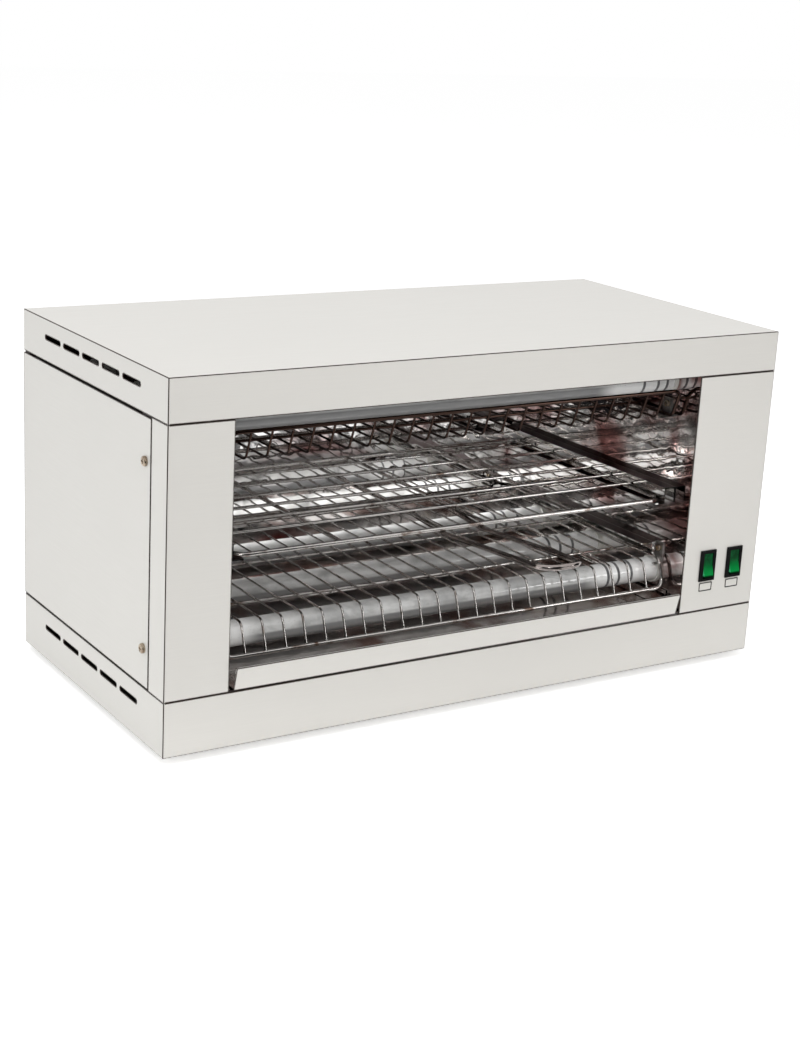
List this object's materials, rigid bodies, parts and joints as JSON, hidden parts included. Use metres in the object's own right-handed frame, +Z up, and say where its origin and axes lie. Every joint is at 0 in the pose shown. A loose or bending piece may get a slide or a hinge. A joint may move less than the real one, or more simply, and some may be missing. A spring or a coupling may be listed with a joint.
{
  "type": "commercial toaster",
  "caption": "Open-front countertop toaster with quartz heating tubes above and below a pull-out wire rack, a crumb tray and rocker switches.",
  "frame": {"origin": "centre of the base pan's underside, with the rubber feet just below it", "axes": "+X to the object's right as seen from its open front, +Y to the back, +Z up"},
  "size_m": [0.454, 0.3237, 0.232],
  "materials": {
    "casing_steel": "fine satin brushed stainless",
    "mirror_steel": "mirror polished stainless",
    "tray_steel": "polished stainless",
    "bracket_steel": "bright stainless",
    "screw_steel": "bright stainless",
    "plated_wire": "bright plated wire",
    "milky_quartz": "milky white quartz",
    "coil_alloy": "oxidised resistance alloy",
    "white_ceramic": "unglazed white ceramic",
    "terminal_brass": "bright brass",
    "foot_rubber": "black rubber",
    "black_plastic": "black moulded plastic",
    "green_plastic": "green translucent plastic",
    "label_metal": "bare satin metal",
    "wire_sleeve": "heat resistant sleeve"
  },
  "bodies": {
    "casing": {"base_pan": "casing_steel", "top_cover": "casing_steel", "left_front_upright": "casing_steel", "right_front_upright": "casing_steel", "left_side_panel": "casing_steel", "right_side_panel": "casing_steel", "back_panel": "casing_steel", "left_mirror_wall": "mirror_steel", "right_mirror_wall": "mirror_steel", "mirror_back_wall": "mirror_steel", "mirror_ceiling": "mirror_steel", "tray_deck": "mirror_steel", "side_panel_screws": "screw_steel", "rear_screws": "screw_steel", "foot_screws": "screw_steel", "rubber_feet": "foot_rubber", "lower_front_quartz_tube": "milky_quartz", "lower_middle_quartz_tube": "milky_quartz", "lower_rear_quartz_tube": "milky_quartz", "upper_front_quartz_tube": "milky_quartz", "upper_middle_quartz_tube": "milky_quartz", "upper_rear_quartz_tube": "milky_quartz", "lower_front_heating_coil": "coil_alloy", "lower_middle_heating_coil": "coil_alloy", "lower_rear_heating_coil": "coil_alloy", "upper_front_heating_coil": "coil_alloy", "upper_middle_heating_coil": "coil_alloy", "upper_rear_heating_coil": "coil_alloy", "lower_ceramic_caps": "white_ceramic", "upper_ceramic_caps": "white_ceramic", "terminal_studs": "screw_steel", "terminal_nuts": "terminal_brass", "busbars": "terminal_brass", "tube_retainers": "bracket_steel", "left_rack_rail": "mirror_steel", "right_rack_rail": "mirror_steel", "left_lower_rail": "mirror_steel", "right_lower_rail": "mirror_steel", "rail_rivets": "bracket_steel", "lower_guard": "plated_wire", "upper_guard": "plated_wire", "lower_guard_clips": "bracket_steel", "upper_guard_clips": "bracket_steel", "guard_clip_screws": "screw_steel", "left_switch_housing": "black_plastic", "right_switch_housing": "black_plastic", "switch_blades": "terminal_brass", "switch_label_plates": "label_metal", "cable_gland": "black_plastic", "gland_lock_nut": "black_plastic", "terminal_block": "white_ceramic", "earth_stud": "terminal_brass", "internal_wires": "wire_sleeve"},
    "rack": {"wire_rack": "plated_wire", "rack_handle": "plated_wire"},
    "tray": {"crumb_tray": "tray_steel"},
    "left_rocker": {"left_switch_rocker": "green_plastic"},
    "right_rocker": {"right_switch_rocker": "green_plastic"}
  },
  "joints": [
    {"name": "rack_slide", "type": "slide", "parent": "casing", "child": "rack", "axis": [0, -1, 0], "range_m": [0, 0.2]},
    {"name": "tray_slide", "type": "slide", "parent": "casing", "child": "tray", "axis": [0, -1, 0], "range_m": [0, 0.21]},
    {"name": "left_rocker_tilt", "type": "hinge", "parent": "casing", "child": "left_rocker", "pos_m": [0.1817, -0.1079, 0.0672], "axis": [1, 0, 0], "range_deg": [0, 18]},
    {"name": "right_rocker_tilt", "type": "hinge", "parent": "casing", "child": "right_rocker", "pos_m": [0.20525, -0.1079, 0.0672], "axis": [1, 0, 0], "range_deg": [0, 18]}
  ]
}
